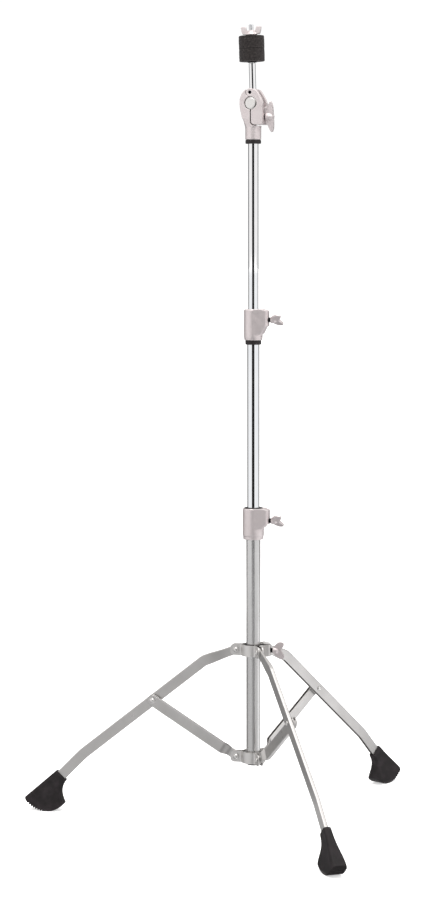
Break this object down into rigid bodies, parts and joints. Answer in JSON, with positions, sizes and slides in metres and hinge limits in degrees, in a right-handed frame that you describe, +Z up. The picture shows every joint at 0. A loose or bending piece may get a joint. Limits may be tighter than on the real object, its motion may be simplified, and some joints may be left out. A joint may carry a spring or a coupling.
{
  "type": "cymbal stand",
  "caption": "Straight cymbal stand with a folding braced base on channel legs, telescoping tubes, cast height clamps, a clamping tilter and a felted cymbal post.",
  "frame": {"origin": "on the floor under the middle of the stand's bounding box", "axes": "+Z up along the mast; +X to the picture's right; +Y away from the camera"},
  "size_m": [0.6126, 0.6382, 1.237],
  "materials": {
    "chromed_tube": "mirror chrome plate on drawn steel tube",
    "satin_tube": "duller plated steel tube",
    "cast_metal": "plated zinc casting with a soft satin skin",
    "pressed_steel": "plated pressed steel strip and channel",
    "bright_steel": "bright plated rivets, pins, nut and barrel",
    "nylon": "black moulded nylon",
    "rubber": "black moulded rubber",
    "felt": "charcoal pressed wool felt"
  },
  "bodies": {
    "lower_mast": {"lower_tube": "satin_tube", "tube_end_plug": "rubber", "lower_hub_sleeve": "pressed_steel", "lower_hub_strip_right": "pressed_steel", "lower_hub_strip_back": "pressed_steel", "lower_hub_strip_left": "pressed_steel", "lower_hub_rivet_front": "bright_steel", "lower_hub_rivet_right": "bright_steel", "lower_hub_rivet_left": "bright_steel", "lower_collar": "cast_metal", "lower_collar_bush": "nylon"},
    "leg_hub": {"leg_hub_sleeve": "nylon", "leg_hub_strip_right": "pressed_steel", "leg_hub_strip_back": "pressed_steel", "leg_hub_strip_left": "pressed_steel", "leg_hub_rivet_front": "bright_steel", "leg_hub_rivet_right": "bright_steel", "leg_hub_rivet_left": "bright_steel", "hub_clamp_nut": "bright_steel"},
    "hub_bolt": {"hub_wing_bolt": "cast_metal"},
    "front_leg": {"leg_front": "pressed_steel", "leg_rivet_front": "bright_steel", "foot_front": "rubber"},
    "right_leg": {"leg_right": "pressed_steel", "leg_rivet_right": "bright_steel", "foot_right": "rubber"},
    "left_leg": {"leg_left": "pressed_steel", "leg_rivet_left": "bright_steel", "foot_left": "rubber"},
    "front_brace": {"brace_front": "pressed_steel", "brace_rivet_front": "bright_steel"},
    "right_brace": {"brace_right": "pressed_steel", "brace_rivet_right": "bright_steel"},
    "left_brace": {"brace_left": "pressed_steel", "brace_rivet_left": "bright_steel"},
    "lower_bolt": {"lower_wing_bolt": "cast_metal"},
    "middle_slider": {"middle_tube_plug": "nylon"},
    "middle_mast": {"middle_tube": "chromed_tube", "upper_collar": "cast_metal", "upper_collar_bush": "nylon"},
    "upper_bolt": {"upper_wing_bolt": "cast_metal"},
    "upper_slider": {"upper_tube_plug": "nylon"},
    "upper_mast": {"upper_tube": "chromed_tube", "stop_ring": "nylon", "tilter_body": "cast_metal", "tilter_pin_front": "bright_steel", "tilter_pin_rear": "bright_steel", "tilter_set_screw": "bright_steel"},
    "jaw": {"tilter_jaw": "cast_metal"},
    "tilter_bolt": {"tilter_wing_bolt": "cast_metal"},
    "post": {"tilter_barrel": "bright_steel", "cymbal_rod": "chromed_tube", "cymbal_sleeve": "nylon"},
    "felt_below": {"lower_felt": "felt"},
    "felt_above": {"upper_felt": "felt"},
    "nut": {"wing_nut": "cast_metal"}
  },
  "joints": [
    {"name": "hub_slide", "type": "slide", "parent": "lower_mast", "child": "leg_hub", "axis": [0, 0, 1], "range_m": [0, 0.1431]},
    {"name": "front_leg_fold", "type": "hinge", "parent": "leg_hub", "child": "front_leg", "pos_m": [0.06773, 0.00652, 0.27062], "axis": [0.9426, 0.3338, 0], "range_deg": [0, 49.5]},
    {"name": "right_leg_fold", "type": "hinge", "parent": "leg_hub", "child": "right_leg", "pos_m": [0.07626, 0.0525, 0.27062], "axis": [-0.7604, 0.6494, 0], "range_deg": [0, 49.5]},
    {"name": "left_leg_fold", "type": "hinge", "parent": "leg_hub", "child": "left_leg", "pos_m": [0.03217, 0.03689, 0.27062], "axis": [-0.1822, -0.9833, 0], "range_deg": [0, 49.5]},
    {"name": "front_brace_fold", "type": "hinge", "parent": "lower_mast", "child": "front_brace", "pos_m": [0.06773, 0.00652, 0.10083], "axis": [-0.9426, -0.3338, 0], "range_deg": [0, 49.5]},
    {"name": "right_brace_fold", "type": "hinge", "parent": "lower_mast", "child": "right_brace", "pos_m": [0.07626, 0.0525, 0.10083], "axis": [0.7604, -0.6494, 0], "range_deg": [0, 49.5]},
    {"name": "left_brace_fold", "type": "hinge", "parent": "lower_mast", "child": "left_brace", "pos_m": [0.03217, 0.03689, 0.10083], "axis": [0.1822, 0.9833, 0], "range_deg": [0, 49.5]},
    {"name": "hub_bolt_turn", "type": "hinge", "parent": "leg_hub", "child": "hub_bolt", "pos_m": [0.089, 0.02636, 0.27062], "axis": [0.9833, -0.1822, 0], "range_deg": [0, 360]},
    {"name": "lower_bolt_turn", "type": "hinge", "parent": "lower_mast", "child": "lower_bolt", "pos_m": [0.08664, 0.02449, 0.47453], "axis": [0.9659, -0.2588, 0], "range_deg": [0, 360]},
    {"name": "middle_tube_slide", "type": "slide", "parent": "lower_mast", "child": "middle_slider", "axis": [0, 0, 1], "range_m": [-0.25, 0.04]},
    {"name": "middle_tube_turn", "type": "hinge", "parent": "middle_slider", "child": "middle_mast", "pos_m": [0.05872, 0.03197, 0.385], "axis": [0, 0, 1], "continuous": true},
    {"name": "upper_bolt_turn", "type": "hinge", "parent": "middle_mast", "child": "upper_bolt", "pos_m": [0.08567, 0.02475, 0.78613], "axis": [0.9659, -0.2588, 0], "range_deg": [0, 360]},
    {"name": "upper_tube_slide", "type": "slide", "parent": "middle_mast", "child": "upper_slider", "axis": [0, 0, 1], "range_m": [-0.25, 0.04]},
    {"name": "upper_tube_turn", "type": "hinge", "parent": "upper_slider", "child": "upper_mast", "pos_m": [0.05872, 0.03197, 0.692], "axis": [0, 0, 1], "continuous": true},
    {"name": "jaw_open", "type": "hinge", "parent": "upper_mast", "child": "jaw", "pos_m": [0.05769, 0.03235, 1.13313], "axis": [-0.342, -0.9397, 0], "range_deg": [0, 1]},
    {"name": "tilter_bolt_turn", "type": "hinge", "parent": "upper_mast", "child": "tilter_bolt", "pos_m": [0.07808, 0.02493, 1.09613], "axis": [0.9397, -0.342, 0], "range_deg": [0, 360]},
    {"name": "cymbal_tilt", "type": "hinge", "parent": "upper_mast", "child": "post", "pos_m": [0.05872, 0.03197, 1.11693], "axis": [0.342, 0.9397, 0], "range_deg": [-10, 70]},
    {"name": "lower_felt_lift", "type": "slide", "parent": "post", "child": "felt_below", "axis": [-0.0279, 0.0101, 0.9996], "range_m": [0, 0.06]},
    {"name": "upper_felt_lift", "type": "slide", "parent": "felt_below", "child": "felt_above", "axis": [-0.0279, 0.0101, 0.9996], "range_m": [0, 0.04]},
    {"name": "wing_nut_turn", "type": "hinge", "parent": "felt_above", "child": "nut", "pos_m": [0.05537, 0.03319, 1.23688], "axis": [-0.0279, 0.0101, 0.9996], "range_deg": [0, 360]}
  ],
  "couplings": [
    {"joint": "front_leg_fold", "follows": "hub_slide", "rad_per_m": 6.035},
    {"joint": "right_leg_fold", "follows": "hub_slide", "rad_per_m": 6.035},
    {"joint": "left_leg_fold", "follows": "hub_slide", "rad_per_m": 6.035},
    {"joint": "front_brace_fold", "follows": "hub_slide", "rad_per_m": 6.035},
    {"joint": "right_brace_fold", "follows": "hub_slide", "rad_per_m": 6.035},
    {"joint": "left_brace_fold", "follows": "hub_slide", "rad_per_m": 6.035}
  ]
}
